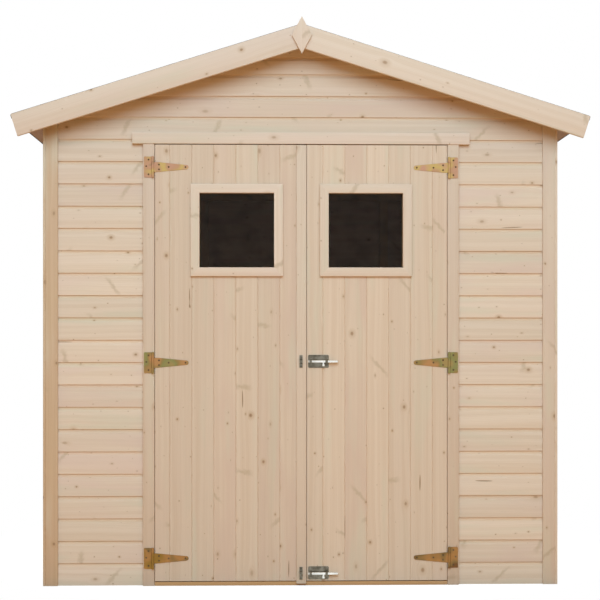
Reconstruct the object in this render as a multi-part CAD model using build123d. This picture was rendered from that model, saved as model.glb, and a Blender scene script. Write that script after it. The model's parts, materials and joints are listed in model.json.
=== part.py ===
"""Wooden garden shed: boarded walls on a light frame, felted gable roof and a pair of doors.

Millimetres, +Z up, +Y into the shed, +X to the right of someone who faces the doors.
The origin is on the ground, in the middle of the plan.
"""
import math
import os

from build123d import *

# Walls and frame
wall_width = 2010.0            # over the cladding of the two side walls
wall_depth = 2010.0            # over the cladding of the front and back walls
cladding_thickness = 16.0
frame_size = 45.0              # square section of posts, studs, rails, plates and rafters
stud_count = 3                 # studs between the posts of each closed wall
corner_board_width = 48.0
corner_board_thickness = 10.0

# Floor
floor_thickness = 17.0
bearer_count = 5

# Roof
roof_pitch = 17.5              # degrees
eave_over_door = 119.5         # top of the side cladding above the doorway
eave_overhang = 118.0          # roof boards past the side cladding, measured level
gable_overhang = 110.0         # face of the barge boards past the gable cladding
deck_thickness = 16.0
felt_thickness = 3.0
barge_depth = 88.0
barge_thickness = 16.0
ridge_beam_depth = 95.0
diamond_width = 78.0
diamond_height = 146.0
diamond_thickness = 12.0
diamond_rise = 27.0            # upper tip of the diamond above the ridge

# Doorway
doorway_width = 1155.0         # between the jambs
doorway_height = 1739.0        # ground to the underside of the header board
jamb_width = 45.0
header_height = 45.0
header_thickness = 20.0
header_reach = 42.0            # header board past the jambs
stop_width = 20.0              # door posts behind the edges of the doors
lintel_drop = 28.0             # beam over the doorway below the header board

# Door leaves
leaf_thickness = 16.0
leaf_side_gap = 5.0
leaf_top_gap = 7.0
leaf_bottom = 19.0
meeting_offset = 20.0          # the leaves meet this far right of the middle
meeting_gap = 6.0
strip_width = 37.0
strip_thickness = 9.0
strip_top_rise = 2.0           # cover strip above the leaf
strip_bottom = 8.0
ledge_height = 90.0
ledge_thickness = 20.0
ledge_stop_gap = 10.0          # ledge ends to the door posts
ledge_meeting_inset = 12.0     # ledge ends to the meeting edge
brace_width = 85.0             # along the ledges

# Windows
pane_sight = 293.0             # clear glass, square
window_trim_width = 35.0
window_trim_thickness = 12.0
window_inner_thickness = 14.0  # inner trim, with the rebate that holds the pane
window_offset = 254.0          # from the middle of the shed
window_drop = 151.5            # top of the window trim below the top of the leaf
pane_thickness = 4.0
pane_lap = 10.0                # pane behind the boards
pane_play = 0.5                # pane to the edge of its rebate

# T-hinges
lower_hinge_rise = 90.0        # lowest strap above the foot of the leaf
upper_hinge_drop = 85.0        # highest strap below the top of the leaf
hinge_sheet = 2.5
hinge_plate_height = 82.0
hinge_plate_reach = 35.0       # outer edge of the plate from the pin
hinge_corner = 4.0
strap_reach = 140.0            # tip of the strap from the pin
strap_root_height = 40.0
strap_tip_height = 17.0
barrel_radius = 5.0
barrel_lift = 0.8              # barrel off the face of the jamb
pin_radius = 2.5
pin_head_height = 1.5
pin_offset = 6.0               # pin outside the edge of the doorway
pin_clearance = 0.3
knuckle_gap = 0.5

# Slide bolts
middle_bolt_rise = 5.0         # middle bolt above the middle hinge
lower_bolt_rise = 31.0         # lower bolt above the foot of the leaf
bolt_plate_height = 51.0
bolt_plate_thickness = 2.0
bolt_plate_corner = 5.0
bolt_plate_inset = 4.0         # plate from the meeting edge
bolt_radius = 5.0
bolt_strip_gap = 2.0           # rod in front of the cover strip
bolt_travel = 38.0
bolt_tail = 2.0                # rod past its rear guide when it is shot
bolt_nose = 1.5                # bevel at the end of the rod
guide_length = 10.0
guide_wall = 3.0
guide_inset = 4.0              # guides from the ends of the plate
guide_clearance = 0.3
knob_radius = 4.0
knob_tip_radius = 5.5
knob_head = 9.0                # length of the thicker end of the knob
knob_reach = 19.0              # tip of the knob below the middle of the rod
knob_guide_gap = 2.0           # knob to a guide at either end of its travel
keeper_length = 12.0
keeper_clearance = 1.5
keeper_foot = 15.0

overrun = 10.0                 # how far a cutting shape passes the face that it cuts
right_angle = 90.0             # degrees

# Places that follow from the sizes above
slope = math.radians(roof_pitch)
side_face = wall_width / 2
gable_face = wall_depth / 2
frame_side = side_face - cladding_thickness
frame_gable = gable_face - cladding_thickness
room_side = frame_side - frame_size
room_gable = frame_gable - frame_size
barge_face = gable_face + gable_overhang
eave_height = doorway_height + eave_over_door
ridge_height = eave_height + deck_thickness / math.cos(slope) + side_face * math.tan(slope)
slope_length = (side_face + eave_overhang) / math.cos(slope)
doorway_side = doorway_width / 2
post_side = doorway_side - stop_width
lintel_height = doorway_height - lintel_drop
leaf_back = -gable_face
leaf_face = leaf_back - leaf_thickness
leaf_top = doorway_height - leaf_top_gap
pin_x = doorway_side + pin_offset
pin_y = leaf_face - barrel_lift - barrel_radius
lower_hinge_height = leaf_bottom + lower_hinge_rise
upper_hinge_height = leaf_top - upper_hinge_drop
middle_hinge_height = (lower_hinge_height + upper_hinge_height) / 2
hinge_heights = (lower_hinge_height, middle_hinge_height, upper_hinge_height)
window_height = leaf_top - window_drop - window_trim_width - pane_sight / 2
bolt_stand = strip_thickness + bolt_strip_gap + bolt_radius
bolt_y = leaf_face - bolt_stand
knob_run = bolt_travel + 2 * (knob_tip_radius + knob_guide_gap)
bolt_plate_length = knob_run + 2 * (guide_inset + guide_length)
middle_bolt_height = middle_hinge_height + middle_bolt_rise
lower_bolt_height = leaf_bottom + lower_bolt_rise
bolt_heights = (middle_bolt_height, lower_bolt_height)
sides = (-1, 1)


def block(x_ends, y_ends, z_ends):
    """A rectangular piece between its two ends along each axis."""
    spans = [sorted(ends) for ends in (x_ends, y_ends, z_ends)]
    middles = [(low + high) / 2 for low, high in spans]
    lengths = [high - low for low, high in spans]
    return Pos(*middles) * Box(*lengths)


def upright(outline, y_front, y_back):
    """A sketch drawn in X and Z, as a piece from y_front to y_back."""
    plane = Plane((0, y_back, 0), x_dir=(1, 0, 0), z_dir=(0, -1, 0))
    return extrude(plane * outline, amount=y_back - y_front, dir=(0, -1, 0))


def profile(points, y_front, y_back):
    """A straight-sided outline in X and Z, as a piece from y_front to y_back."""
    return upright(Polygon(*points, align=None), y_front, y_back)


def square_ring(outer, inner, x, z, y_front, y_back):
    """A square frame around the point (x, z)."""
    outline = Pos(x, z) * (Rectangle(outer, outer) - Rectangle(inner, inner))
    return upright(outline, y_front, y_back)


def spread(count, first, last):
    """Places from first to last at an even pitch, both ends included."""
    return [first + (last - first) * step / (count - 1) for step in range(count)]


def roof_height(x, rise):
    """Height at x of the plane that lies rise above the tops of the roof boards."""
    return ridge_height + rise / math.cos(slope) - abs(x) * math.tan(slope)


def slope_point(side, run, rise):
    """The point run down one roof side from the ridge and rise above its boards."""
    x = run * math.cos(slope) + rise * math.sin(slope)
    z = ridge_height - run * math.sin(slope) + rise * math.cos(slope)
    return (side * x, z)


def slope_band(side, length, top, bottom):
    """Outline of a layer on one roof side, plumb at the ridge and square at its foot."""
    return [
        (0, roof_height(0, top)),
        slope_point(side, length, top),
        slope_point(side, length, bottom),
        (0, roof_height(0, bottom)),
    ]


def floor_bearers():
    """Bearers across the shed under the floor boards."""
    reach = room_gable - frame_size / 2
    half = frame_size / 2
    height = frame_size - floor_thickness
    return [
        block((-room_side, room_side), (y - half, y + half), (0, height))
        for y in spread(bearer_count, -reach, reach)
    ]


def floor_deck():
    """Floor boards, level with the tops of the bottom rails."""
    z_ends = (frame_size - floor_thickness, frame_size)
    return [block((-room_side, room_side), (-room_gable, room_gable), z_ends)]


def side_rails():
    """Bottom rails of the two side walls, the full depth of the frame."""
    return [
        block((side * room_side, side * frame_side), (-frame_gable, frame_gable), (0, frame_size))
        for side in sides
    ]


def cross_rail(end):
    """Bottom rail of the front or back wall, between the side rails."""
    y_ends = (end * room_gable, end * frame_gable)
    return [block((-room_side, room_side), y_ends, (0, frame_size))]


def plate_bottom():
    """Underside of the plates on the side walls."""
    return roof_height(frame_side, -deck_thickness) - frame_size


def wall_posts():
    """Corner posts on the side rails, and door posts from the sill to the lintel."""
    posts = [
        block(
            (side * room_side, side * frame_side),
            (end * room_gable, end * frame_gable),
            (frame_size, plate_bottom()),
        )
        for side in sides
        for end in sides
    ]
    for side in sides:
        x_ends = (side * post_side, side * (post_side + frame_size))
        posts.append(block(x_ends, (-frame_gable, -room_gable), (frame_size, lintel_height)))
    return posts


def wall_studs():
    """Studs of the side and back walls, and the short studs under the ridge beam."""
    half = frame_size / 2
    between = spread(stud_count + len(sides), -frame_side + half, frame_side - half)[1:-1]
    along = spread(stud_count + len(sides), -frame_gable + half, frame_gable - half)[1:-1]
    studs = [
        block((side * room_side, side * frame_side), (y - half, y + half), (frame_size, plate_bottom()))
        for side in sides
        for y in along
    ]
    for x in between:
        z_ends = (frame_size, lintel_height)
        studs.append(block((x - half, x + half), (room_gable, frame_gable), z_ends))
    for end in sides:
        z_ends = (lintel_height + frame_size, ridge_beam_bottom())
        studs.append(block((-half, half), (end * room_gable, end * frame_gable), z_ends))
    return studs


def cross_beams():
    """Lintel over the doorway and the same rail in the back wall."""
    z_ends = (lintel_height, lintel_height + frame_size)
    return [
        block((-room_side, room_side), (end * room_gable, end * frame_gable), z_ends)
        for end in sides
    ]


def side_plates():
    """Plates on the side walls, bevelled to the roof."""
    plates = []
    for side in sides:
        points = [
            (side * frame_side, plate_bottom()),
            (side * frame_side, roof_height(frame_side, -deck_thickness)),
            (side * room_side, roof_height(room_side, -deck_thickness)),
            (side * room_side, plate_bottom()),
        ]
        plates.append(profile(points, -frame_gable, frame_gable))
    return plates


def ridge_beam_bottom():
    """Underside of the ridge beam."""
    return roof_height(0, -deck_thickness) - ridge_beam_depth


def ridge_beam():
    """Beam under the ridge, from gable to gable, with its top cut to both slopes."""
    half = frame_size / 2
    shoulder = roof_height(half, -deck_thickness)
    points = [
        (-half, ridge_beam_bottom()),
        (half, ridge_beam_bottom()),
        (half, shoulder),
        (0, roof_height(0, -deck_thickness)),
        (-half, shoulder),
    ]
    return [profile(points, -frame_gable, frame_gable)]


def rafters():
    """Three pairs of rafters, at both gables and half-way, from plate to ridge beam."""
    half = frame_size / 2
    top = -deck_thickness
    bottom = top - frame_size
    pieces = []
    for y in (-frame_gable + half, 0, frame_gable - half):
        for side in sides:
            points = [
                (side * half, roof_height(half, top)),
                (side * room_side, roof_height(room_side, top)),
                (side * room_side, roof_height(room_side, bottom)),
                (side * half, roof_height(half, bottom)),
            ]
            pieces.append(profile(points, y - half, y + half))
    return pieces


def roof_deck(side):
    """Boards of one roof side, between the barge boards."""
    end = barge_face - barge_thickness
    return [profile(slope_band(side, slope_length, 0, -deck_thickness), -end, end)]


def roof_felt(side):
    """Felt of one roof side, over the barge boards and folded down the eave edge."""
    length = slope_length + felt_thickness
    sheet = profile(slope_band(side, length, felt_thickness, 0), -barge_face, barge_face)
    fold_points = [
        slope_point(side, slope_length, 0),
        slope_point(side, length, 0),
        slope_point(side, length, -deck_thickness),
        slope_point(side, slope_length, -deck_thickness),
    ]
    end = barge_face - barge_thickness
    return [sheet + profile(fold_points, -end, end)]


def barge_boards(side):
    """Front and back barge board of one roof side, plumb-cut at the ridge."""
    points = slope_band(side, slope_length, 0, -barge_depth)
    back = barge_face - barge_thickness
    return [profile(points, -barge_face, -back), profile(points, back, barge_face)]


def gable_diamonds():
    """Diamond over the joint of the barge boards, front and back."""
    top = ridge_height + diamond_rise
    middle = top - diamond_height / 2
    points = [
        (0, top),
        (diamond_width / 2, middle),
        (0, top - diamond_height),
        (-diamond_width / 2, middle),
    ]
    face = barge_face + diamond_thickness
    return [profile(points, -face, -barge_face), profile(points, barge_face, face)]


def front_wall(side):
    """Cladding of the front wall beside the doorway."""
    x_ends = (side * doorway_side, side * side_face)
    return [block(x_ends, (-gable_face, -frame_gable), (0, doorway_height))]


def gable_outline(bottom):
    """Outline of a gable wall from a given height up to the roof boards."""
    return [
        (-side_face, bottom),
        (side_face, bottom),
        (side_face, eave_height),
        (0, roof_height(0, -deck_thickness)),
        (-side_face, eave_height),
    ]


def front_gable():
    """Cladding over the doorway and up to the roof."""
    return [profile(gable_outline(doorway_height), -gable_face, -frame_gable)]


def back_wall():
    """Cladding of the back wall and its gable."""
    return [profile(gable_outline(0), frame_gable, gable_face)]


def side_wall(side):
    """Cladding of one side wall, bevelled to the roof."""
    points = [
        (side * side_face, 0),
        (side * side_face, eave_height),
        (side * frame_side, roof_height(frame_side, -deck_thickness)),
        (side * frame_side, 0),
    ]
    return [profile(points, -frame_gable, frame_gable)]


def gable_corner_boards():
    """Corner boards on the front and back walls."""
    face = gable_face + corner_board_thickness
    return [
        block(
            (side * (side_face - corner_board_width), side * side_face),
            (end * gable_face, end * face),
            (0, eave_height),
        )
        for side in sides
        for end in sides
    ]


def side_corner_boards():
    """Corner boards on the side walls, which cover the edges of the others."""
    outer = side_face + corner_board_thickness
    face = gable_face + corner_board_thickness
    height = roof_height(outer, -deck_thickness)
    return [
        block(
            (side * side_face, side * outer),
            (end * (face - corner_board_width), end * face),
            (0, height),
        )
        for side in sides
        for end in sides
    ]


def door_jambs():
    """Jambs on the cladding, flush with the doors."""
    return [
        block(
            (side * doorway_side, side * (doorway_side + jamb_width)),
            (leaf_face, leaf_back),
            (0, doorway_height),
        )
        for side in sides
    ]


def door_header():
    """Header board on the jambs, with its ends past them."""
    reach = doorway_side + jamb_width + header_reach
    y_ends = (-gable_face - header_thickness, -gable_face)
    return [block((-reach, reach), y_ends, (doorway_height, doorway_height + header_height))]


def hinge_edge(side):
    """Edge of a leaf beside its jamb."""
    return side * (doorway_side - leaf_side_gap)


def meeting_edge(side):
    """Edge of a leaf where the two leaves meet."""
    return meeting_offset + side * meeting_gap / 2


def door_boards(side):
    """Upright boards of one leaf, with the hole for its window."""
    leaf = block((hinge_edge(side), meeting_edge(side)), (leaf_face, leaf_back), (leaf_bottom, leaf_top))
    x = side * window_offset
    half = pane_sight / 2
    cut = block(
        (x - half, x + half),
        (leaf_face - overrun, leaf_back + overrun),
        (window_height - half, window_height + half),
    )
    return [leaf - cut]


def ledge_ends(side):
    """Ends of the ledges on the back of one leaf: hinge side, then meeting side."""
    return (
        side * (post_side - ledge_stop_gap),
        meeting_edge(side) + side * ledge_meeting_inset,
    )


def door_ledges(side):
    """Ledges across the back of one leaf, behind its hinges."""
    half = ledge_height / 2
    y_ends = (leaf_back, leaf_back + ledge_thickness)
    return [block(ledge_ends(side), y_ends, (z - half, z + half)) for z in hinge_heights]


def door_brace(side):
    """Brace that rises from the lowest hinge to the meeting edge."""
    low, high = ledge_ends(side)
    bottom = lower_hinge_height + ledge_height / 2
    top = middle_hinge_height - ledge_height / 2
    points = [
        (low, bottom),
        (low - side * brace_width, bottom),
        (high, top),
        (high + side * brace_width, top),
    ]
    return [profile(points, leaf_back, leaf_back + ledge_thickness)]


def door_cover_strip():
    """Strip along the meeting edge of the left leaf."""
    edge = meeting_edge(-1)
    y_ends = (leaf_face - strip_thickness, leaf_face)
    return [block((edge - strip_width, edge), y_ends, (strip_bottom, leaf_top + strip_top_rise))]


def window_ring(side, y_front, y_back):
    """Square trim around one window."""
    outer = pane_sight + 2 * window_trim_width
    return square_ring(outer, pane_sight, side * window_offset, window_height, y_front, y_back)


def window_plate(side, size):
    """A square plate as thick as the pane, on the back of the boards."""
    x = side * window_offset
    half = size / 2
    z_ends = (window_height - half, window_height + half)
    return block((x - half, x + half), (leaf_back, leaf_back + pane_thickness), z_ends)


def window_frame(side):
    """Trim around one window on the face of its leaf."""
    return [window_ring(side, leaf_face - window_trim_thickness, leaf_face)]


def window_inner_trim(side):
    """Trim on the back of the leaf, rebated for the pane."""
    rebate = window_plate(side, pane_sight + 2 * (pane_lap + pane_play))
    return [window_ring(side, leaf_back, leaf_back + window_inner_thickness) - rebate]


def window_pane(side):
    """Clear pane over the hole of one leaf, held on its back by the inner trim."""
    return [window_plate(side, pane_sight + 2 * pane_lap)]


def upright_cylinder(x, y, radius, z_ends):
    """A round bar along Z."""
    low, high = z_ends
    return Pos(x, y, (low + high) / 2) * Cylinder(radius, high - low)


def hinge_plate(side, height):
    """Jamb plate of a T-hinge: sheet, two rolled knuckles and the pin through them."""
    x = side * pin_x
    half = hinge_plate_height / 2
    corners = Pos(side * hinge_plate_reach / 2, 0) * RectangleRounded(
        hinge_plate_reach, hinge_plate_height, hinge_corner
    )
    sheet = upright(Pos(x, height) * corners, leaf_face - hinge_sheet, leaf_face)
    reach = barrel_radius + knuckle_gap
    notch_half = strap_root_height / 2 + knuckle_gap
    notch = block(
        (x - reach, x + reach),
        (pin_y - reach, leaf_face + overrun),
        (height - notch_half, height + notch_half),
    )
    barrel = upright_cylinder(x, pin_y, barrel_radius, (height - half, height + half))
    under = block((x - barrel_radius, x), (pin_y, leaf_face), (height - half, height + half))
    root = block((x, x + side * barrel_radius), (pin_y, leaf_face), (height - half, height + half))
    pin_half = half + pin_head_height
    pin = upright_cylinder(x, pin_y, pin_radius, (height - pin_half, height + pin_half))
    return sheet - under + (barrel + root - notch) - notch + pin


def hinge_plates(side):
    """The three jamb plates of one door."""
    return [hinge_plate(side, z) for z in hinge_heights]


def strap_outline(side, height):
    """Face of a strap: a taper from the leaf edge to a round tip."""
    x = side * pin_x
    root = hinge_edge(side)
    tip_radius = strap_tip_height / 2
    tip_x = x - side * (strap_reach - tip_radius)
    half = strap_root_height / 2
    taper = Polygon(
        (root, height - half),
        (root, height + half),
        (tip_x, height + tip_radius),
        (tip_x, height - tip_radius),
        align=None,
    )
    return taper + Pos(tip_x, height) * Circle(tip_radius)


def hinge_strap(side, height):
    """Strap of a T-hinge: tapered sheet on the leaf, rolled round the pin at its root."""
    x = side * pin_x
    half = strap_root_height / 2
    z_ends = (height - half, height + half)
    sheet = upright(strap_outline(side, height), leaf_face - hinge_sheet, leaf_face)
    root = hinge_edge(side)
    web_points = [
        (root, leaf_face),
        (x, leaf_face - barrel_lift),
        (x, leaf_face - barrel_lift - hinge_sheet),
        (root, leaf_face - hinge_sheet),
    ]
    web_outline = Pos(0, 0, height - half) * Polygon(*web_points, align=None)
    web = extrude(web_outline, amount=strap_root_height, dir=(0, 0, 1))
    knuckle = upright_cylinder(x, pin_y, barrel_radius, z_ends)
    bore = upright_cylinder(x, pin_y, pin_radius + pin_clearance, (z_ends[0] - overrun, z_ends[1] + overrun))
    return sheet + web + knuckle - bore


def hinge_straps(side):
    """The three straps of one door."""
    return [hinge_strap(side, z) for z in hinge_heights]


def loop_outline(inner, base):
    """Section of a bent loop around a rod, open towards the face that carries it."""
    outer = inner + guide_wall
    wall = Circle(outer) + Pos(base / 2, 0) * Rectangle(base, 2 * outer)
    gap_length = base + overrun
    gap = Circle(inner) + Pos(gap_length / 2, 0) * Rectangle(gap_length, 2 * inner)
    return wall - gap


def along_x(outline, x_start, length, z):
    """A sketch in Y and Z around the rod's axis, as a piece along X."""
    plane = Plane((x_start, bolt_y, z), x_dir=(0, 1, 0), z_dir=(1, 0, 0))
    return extrude(plane * outline, amount=length, dir=(1, 0, 0))


def bolt_plate_start():
    """End of the bolt's plate beside the meeting edge."""
    return meeting_edge(1) + bolt_plate_inset


def bolt_plate(z):
    """Base plate of a slide bolt with its two bent guides."""
    start = bolt_plate_start()
    outline = RectangleRounded(bolt_plate_length, bolt_plate_height, bolt_plate_corner)
    middle = start + bolt_plate_length / 2
    face = leaf_face - bolt_plate_thickness
    plate = upright(Pos(middle, z) * outline, face, leaf_face)
    loop = loop_outline(bolt_radius + guide_clearance, bolt_stand - bolt_plate_thickness)
    front_guide = along_x(loop, start + guide_inset, guide_length, z)
    rear_guide = along_x(loop, rear_guide_start(), guide_length, z)
    return plate + front_guide + rear_guide


def rear_guide_start():
    """Near side of the rear guide."""
    return bolt_plate_start() + bolt_plate_length - guide_inset - guide_length


def bolt_plates():
    """Plates of both bolts."""
    return [bolt_plate(z) for z in bolt_heights]


def bolt_keeper(z):
    """Keeper of a slide bolt: a bent loop with a foot above and below, on the cover strip."""
    base = bolt_stand - strip_thickness
    inner = bolt_radius + keeper_clearance
    outer = inner + guide_wall
    foot_middle = outer + keeper_foot / 2
    foot = Rectangle(guide_wall, keeper_foot)
    foot_x = base - guide_wall / 2
    outline = loop_outline(inner, base)
    outline = outline + Pos(foot_x, foot_middle) * foot + Pos(foot_x, -foot_middle) * foot
    start = meeting_edge(-1) - strip_width / 2 - keeper_length / 2
    return along_x(outline, start, keeper_length, z)


def bolt_keepers():
    """Keepers of both bolts."""
    return [bolt_keeper(z) for z in bolt_heights]


def bolt_rod(z):
    """Rod of a slide bolt, drawn back clear of its keeper, with its knob pointing down."""
    start = bolt_plate_start()
    length = rear_guide_start() + guide_length + bolt_travel + bolt_tail - start
    rod = chamfer(Cylinder(bolt_radius, length).edges(), bolt_nose)
    rod = Pos(start + length / 2, bolt_y, z) * Rot(Y=right_angle) * rod
    knob_x = rear_guide_start() - knob_guide_gap - knob_tip_radius
    tip = z - knob_reach
    stem = upright_cylinder(knob_x, bolt_y, knob_radius, (tip + knob_head / 2, z))
    head = chamfer(Cylinder(knob_tip_radius, knob_head).edges(), bolt_nose)
    return [rod + stem + Pos(knob_x, bolt_y, tip + knob_head / 2) * head]


nodes = {
    "floor_bearers": floor_bearers(),
    "floor_deck": floor_deck(),
    "side_rails": side_rails(),
    "door_sill": cross_rail(-1),
    "back_rail": cross_rail(1),
    "wall_posts": wall_posts(),
    "wall_studs": wall_studs(),
    "cross_beams": cross_beams(),
    "side_plates": side_plates(),
    "ridge_beam": ridge_beam(),
    "rafters": rafters(),
    "gable_diamonds": gable_diamonds(),
    "front_gable": front_gable(),
    "back_wall": back_wall(),
    "gable_corner_boards": gable_corner_boards(),
    "side_corner_boards": side_corner_boards(),
    "door_jambs": door_jambs(),
    "door_header": door_header(),
    "door_cover_strip": door_cover_strip(),
    "bolt_plates": bolt_plates(),
    "bolt_keepers": bolt_keepers(),
    "middle_bolt_rod": bolt_rod(middle_bolt_height),
    "lower_bolt_rod": bolt_rod(lower_bolt_height),
}
for name, side in zip(("left", "right"), sides):
    nodes[f"{name}_roof_deck"] = roof_deck(side)
    nodes[f"{name}_roof_felt"] = roof_felt(side)
    nodes[f"{name}_barge_boards"] = barge_boards(side)
    nodes[f"front_wall_{name}"] = front_wall(side)
    nodes[f"{name}_wall"] = side_wall(side)
    nodes[f"{name}_hinge_plates"] = hinge_plates(side)
    nodes[f"{name}_hinge_straps"] = hinge_straps(side)
    nodes[f"{name}_door_boards"] = door_boards(side)
    nodes[f"{name}_door_ledges"] = door_ledges(side)
    nodes[f"{name}_door_brace"] = door_brace(side)
    nodes[f"{name}_window_frame"] = window_frame(side)
    nodes[f"{name}_window_inner_trim"] = window_inner_trim(side)
    nodes[f"{name}_window_pane"] = window_pane(side)

os.makedirs("parts", exist_ok=True)
for name, pieces in nodes.items():
    solids = [solid for piece in pieces for solid in piece.solids()]
    export_step(Compound(children=solids) if len(solids) > 1 else solids[0], f"parts/{name}.step")
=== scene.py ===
"""Looks of a wooden garden shed: boards, trim, felt, panes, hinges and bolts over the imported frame."""

import json
import logging
import math
import random
from contextlib import contextmanager
from dataclasses import dataclass
from enum import Enum
from typing import Callable, Iterable, Iterator, Optional, Sequence, Union

import bpy
import numpy as np
from mathutils import Matrix, Vector

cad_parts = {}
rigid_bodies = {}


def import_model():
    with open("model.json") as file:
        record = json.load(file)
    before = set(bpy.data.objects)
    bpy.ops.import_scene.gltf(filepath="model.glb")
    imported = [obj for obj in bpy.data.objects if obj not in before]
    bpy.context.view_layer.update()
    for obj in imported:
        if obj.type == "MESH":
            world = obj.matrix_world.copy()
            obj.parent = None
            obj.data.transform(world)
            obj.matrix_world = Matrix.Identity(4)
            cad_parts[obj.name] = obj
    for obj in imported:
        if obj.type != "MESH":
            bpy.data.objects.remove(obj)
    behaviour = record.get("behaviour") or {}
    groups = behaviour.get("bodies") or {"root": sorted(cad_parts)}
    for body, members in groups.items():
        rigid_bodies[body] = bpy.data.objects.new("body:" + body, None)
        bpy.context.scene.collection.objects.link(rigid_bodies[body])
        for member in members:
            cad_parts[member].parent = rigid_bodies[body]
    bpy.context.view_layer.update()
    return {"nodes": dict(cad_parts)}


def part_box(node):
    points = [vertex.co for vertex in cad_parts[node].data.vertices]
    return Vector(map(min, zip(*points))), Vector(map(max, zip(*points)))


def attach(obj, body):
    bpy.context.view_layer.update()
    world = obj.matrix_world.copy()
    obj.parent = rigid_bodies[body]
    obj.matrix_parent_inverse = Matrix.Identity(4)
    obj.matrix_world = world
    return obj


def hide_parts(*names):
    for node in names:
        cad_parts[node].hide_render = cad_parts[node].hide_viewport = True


for leftover in list(bpy.data.objects):
    bpy.data.objects.remove(leftover)

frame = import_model()

LOG = logging.getLogger("shed")
PITCH = math.radians(17.5)
RIDGE = 2.19215
UNDER_RIDGE = 2.1754
NEAR = 1e-5
TOUCH = 1e-6
SMOOTH = math.radians(35)
GRAIN_MAP = "grain"
BOARD_MAP = "board"
DEPTH_MAP = "depth"

Colour = tuple[int, int, int]
Point = tuple[float, float, float]
Cut = tuple[Point, Point]
Hole = tuple[float, float]
Head = tuple[float, float, int]
Mesh = bpy.types.Mesh
Outputs = bpy.types.NodeOutputs
Piece = bpy.types.Object
Socket = bpy.types.NodeSocket
Value = Union[float, Sequence[float], Socket]
Inputs = dict[Union[str, int], Value]


def linear(colour: Colour) -> tuple[float, ...]:
    """Turn a screen colour into the linear colour that shaders take.

    Args:
        colour: Red, green and blue from 0 to 255.

    Returns:
        Linear red, green, blue and an alpha of one.
    """
    parts = [share / 255 for share in colour]
    parts = [part / 12.92 if part <= 0.04045 else ((part + 0.055) / 1.055) ** 2.4 for part in parts]
    return (*parts, 1.0)


class Graph:
    """Adds and joins the nodes of one shader tree."""

    def __init__(self, tree: bpy.types.NodeTree) -> None:
        """Keep the tree and empty it."""
        self.tree = tree
        tree.nodes.clear()

    def fill(self, node: bpy.types.Node, inputs: Inputs) -> None:
        """Link each socket to an output, or set its value.

        Args:
            node: Node whose sockets are filled.
            inputs: Values or outputs for its sockets, by name or number.
        """
        for key, value in inputs.items():
            if isinstance(value, Socket):
                self.tree.links.new(value, node.inputs[key])
            else:
                node.inputs[key].default_value = value

    def node(self, kind: str, inputs: Optional[Inputs] = None, **settings: object) -> bpy.types.Node:
        """Add one node.

        Args:
            kind: Blender's name of the node type, without ShaderNode before it.
            inputs: Values or outputs for its sockets, by name or number.
            settings: Properties of the node itself.

        Returns:
            The new node.
        """
        node = self.tree.nodes.new(f"ShaderNode{kind}")
        for name, setting in settings.items():
            setattr(node, name, setting)
        self.fill(node, inputs or {})
        return node

    def math(self, operation: str, *values: Value) -> Socket:
        """Add a Math node and give its output."""
        return self.node("Math", dict(enumerate(values)), operation=operation).outputs[0]

    def times(self, first: Value, second: Value) -> Socket:
        """Multiply two values."""
        return self.math("MULTIPLY", first, second)

    def line(self, value: Value, slope: Value, start: Value) -> Socket:
        """Multiply a value by a slope and add a start."""
        return self.math("MULTIPLY_ADD", value, slope, start)

    def vector(self, operation: str, first: Value, second: Value) -> Socket:
        """Add a Vector Math node and give its output."""
        return self.node("VectorMath", {0: first, 1: second}, operation=operation).outputs[0]

    def mix(self, share: Value, first: Value, second: Value, blend: str = "MIX") -> Socket:
        """Add a colour Mix node and give its output."""
        inputs = {0: share, 6: first, 7: second}
        return self.node("Mix", inputs, data_type="RGBA", blend_type=blend).outputs[2]

    def split(self, vector: Value) -> Outputs:
        """Add a Separate XYZ node and give its outputs."""
        return self.node("SeparateXYZ", {0: vector}).outputs

    def coordinates(self) -> Socket:
        """Give the Object coordinates."""
        return self.node("TexCoord").outputs["Object"]

    def uv(self, name: str) -> Socket:
        """Give the coordinates of a UV map."""
        return self.node("UVMap", uv_map=name).outputs[0]

    def noise(self, place: Value, scale: Point, detail: float = 2.0, flat: bool = True) -> Socket:
        """Add a Noise texture.

        Args:
            place: Coordinates in metres.
            scale: Cells per metre along each axis.
            detail: Number of finer layers.
            flat: True for a pattern in two dimensions.

        Returns:
            The value output.
        """
        inputs = {"Vector": self.vector("MULTIPLY", place, scale), "Scale": 1.0, "Detail": detail}
        return self.node("TexNoise", inputs, noise_dimensions="2D" if flat else "3D").outputs[0]

    def step(self, value: Value, low: Value, high: Value) -> Socket:
        """Add a smooth step from zero at low to one at high."""
        return self.node("MapRange", {0: value, 1: low, 2: high}, interpolation_type="SMOOTHSTEP").outputs[0]

    def shade(self, colour: Value, brightness: Value) -> Socket:
        """Make a colour brighter or darker."""
        return self.node("HueSaturation", {"Color": colour, "Value": brightness}).outputs[0]

    def bump(self, height: Value, distance: float, strength: float, invert: bool = False) -> Socket:
        """Turn a height into a normal."""
        inputs = {"Height": height, "Distance": distance, "Strength": strength}
        return self.node("Bump", inputs, invert=invert).outputs[0]

    def ramp(self, value: Value, stops: Sequence[tuple[float, Colour]]) -> Socket:
        """Add a colour ramp.

        Args:
            value: Value from zero to one.
            stops: Place and screen colour of each stop.

        Returns:
            The colour output.
        """
        node = self.node("ValToRGB", {0: value})
        elements = node.color_ramp.elements
        while len(elements) < len(stops):
            elements.new(0.5)
        for element, (place, colour) in zip(elements, stops):
            element.position = place
            element.color = linear(colour)
        return node.outputs[0]

    def seen(self) -> Socket:
        """Tell which rays see the background.

        Returns:
            One for rays of the camera and of mirroring or clear surfaces, zero for the rest.
        """
        path = self.node("LightPath").outputs
        seen = self.math("MAXIMUM", path["Is Camera Ray"], path["Is Glossy Ray"])
        return self.math("MAXIMUM", seen, path["Is Transmission Ray"])


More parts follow.
